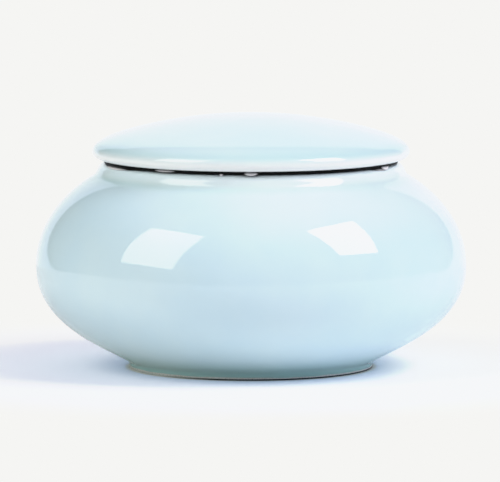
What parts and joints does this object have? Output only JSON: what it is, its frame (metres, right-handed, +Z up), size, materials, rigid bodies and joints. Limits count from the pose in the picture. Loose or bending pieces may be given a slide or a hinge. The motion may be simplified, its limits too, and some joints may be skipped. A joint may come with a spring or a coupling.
{
  "type": "funeral urn",
  "caption": "Squat round funeral urn in pale blue celadon porcelain: a hollow jar on a low foot ring, a short collar, a dark seal ring and a domed lift-off lid.",
  "frame": {"origin": "centre of the foot ring's flat underside, on the table", "axes": "+Z up the turning axis; X and Y lie in the table plane, and -Y is the side the picture shows"},
  "size_m": [0.1296, 0.1296, 0.0765],
  "materials": {
    "celadon_glaze": "glossy pale blue celadon glaze on white porcelain, bare clay only under the foot ring",
    "seal_rubber": "smooth black silicone with a soft gloss"
  },
  "bodies": {
    "root": {"jar": "celadon_glaze", "lid": "celadon_glaze", "seal_ring": "seal_rubber"}
  },
  "joints": []
}
